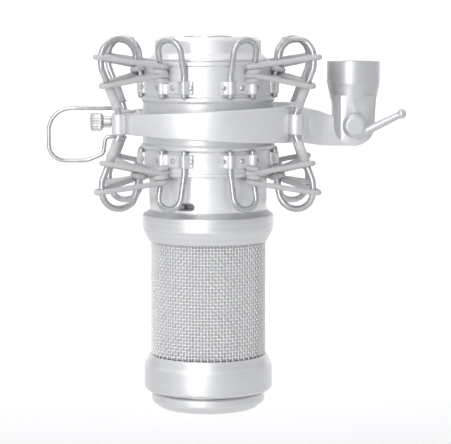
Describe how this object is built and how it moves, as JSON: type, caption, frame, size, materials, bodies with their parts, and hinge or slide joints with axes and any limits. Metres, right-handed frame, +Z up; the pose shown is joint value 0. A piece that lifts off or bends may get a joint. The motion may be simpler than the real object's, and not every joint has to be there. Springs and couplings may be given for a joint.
{
  "type": "condenser microphone in shock mount",
  "caption": "Side-address condenser microphone hanging in an elastic shock mount with a thumbscrew cradle, tilting yoke and threaded stand socket.",
  "frame": {"origin": "middle of the stand thread, on its axis", "axes": "+Z up, out of the stand thread's mouth; the microphone hangs at -X; the viewer stands at -Y"},
  "size_m": [0.1349, 0.072, 0.1416],
  "materials": {
    "satin_silver": "satin",
    "polished_silver": "polished",
    "silver_mesh": "woven wire",
    "dark_steel": "plain",
    "foam": "open-cell foam",
    "board_green": "solder-resist coated",
    "aluminium_frame": "machined",
    "black_plastic": "moulded",
    "capsule_brass": "machined",
    "gold_film": "sputtered film",
    "rubber": "matt",
    "nickel": "nickel plated",
    "component_black": "sleeved",
    "painted_frame": "satin powder coat",
    "steel_wire": "plated wire",
    "elastic_cord": "braided",
    "socket_paint": "satin powder coat",
    "thread_brass": "machined",
    "washer_fibre": "fibre"
  },
  "bodies": {
    "stand_socket": {"socket_housing": "socket_paint", "thread_insert": "thread_brass", "friction_washers": "washer_fibre", "pivot_bolt": "nickel"},
    "clamp_lever": {"clamp_lever": "socket_paint"},
    "outer_frame": {"outer_ring": "painted_frame", "arm_right_back": "steel_wire", "arm_right_front": "steel_wire", "arm_left_back": "steel_wire", "arm_left_front": "steel_wire", "arm_sleeves": "rubber", "elastics_upper": "elastic_cord", "elastics_lower": "elastic_cord", "cable_loop": "steel_wire", "yoke_arm": "painted_frame", "yoke_screws": "dark_steel"},
    "cradle": {"cradle_band": "painted_frame", "cradle_liner": "rubber", "screw_boss": "painted_frame", "hooks_upper": "steel_wire", "hooks_lower": "steel_wire", "hook_clamps": "painted_frame"},
    "pressure_pad": {"pressure_pad": "rubber"},
    "thumbscrew": {"thumb_knob": "nickel", "thumb_screw": "nickel"},
    "microphone": {"body_tube": "satin_silver", "base_ring": "satin_silver", "housing_screws": "dark_steel", "collar": "polished_silver", "cap_ring": "polished_silver", "end_cap": "polished_silver", "grille_mesh": "silver_mesh", "grille_ribs": "dark_steel", "inner_mesh": "silver_mesh", "foam_liner": "foam", "capsule_deck": "aluminium_frame", "capsule_post": "black_plastic", "capsule_isolator": "rubber", "capsule_body": "capsule_brass", "backplate": "capsule_brass", "diaphragm_front": "gold_film", "diaphragm_rear": "gold_film", "clamp_rings": "capsule_brass", "capsule_screws": "dark_steel", "xlr_shell": "nickel", "xlr_insulator": "black_plastic", "xlr_pins": "capsule_brass", "base_plate": "aluminium_frame", "chassis_rails": "aluminium_frame", "main_board": "board_green", "transformer": "component_black", "capacitors": "component_black", "switch_bezel": "black_plastic", "switch_base": "dark_steel"},
    "low_cut_switch": {"switch_slider": "black_plastic"}
  },
  "joints": [
    {"name": "lever_turn", "type": "hinge", "parent": "stand_socket", "child": "clamp_lever", "pos_m": [0, -0.0113, -0.018], "axis": [0, -1, 0], "range_deg": [0, 135]},
    {"name": "yoke_tilt", "type": "hinge", "parent": "stand_socket", "child": "outer_frame", "pos_m": [0, 0, -0.018], "axis": [0, 1, 0], "range_deg": [-90, 20]},
    {"name": "suspension", "type": "slide", "parent": "outer_frame", "child": "cradle", "axis": [0, 0, 1], "range_m": [-0.003, 0.003], "stiffness_N_per_m": 2500, "springref_m": 0.0022, "deforming": ["elastics_upper", "elastics_lower"]},
    {"name": "pad_slide", "type": "slide", "parent": "cradle", "child": "pressure_pad", "axis": [-1, 0, 0], "range_m": [0, 0.0024]},
    {"name": "thumbscrew_turn", "type": "hinge", "parent": "pressure_pad", "child": "thumbscrew", "pos_m": [-0.09, 0, -0.017], "axis": [-1, 0, 0], "range_deg": [0, 1080]},
    {"name": "microphone_release", "type": "slide", "parent": "cradle", "child": "microphone", "axis": [0, 0, -1], "range_m": [0, 0.056]},
    {"name": "switch_slide", "type": "slide", "parent": "microphone", "child": "low_cut_switch", "axis": [0.9272, -0.3746, 0], "range_m": [0, 0.0034]}
  ],
  "couplings": [
    {"joint": "thumbscrew_turn", "follows": "pad_slide", "rad_per_m": 7854}
  ]
}
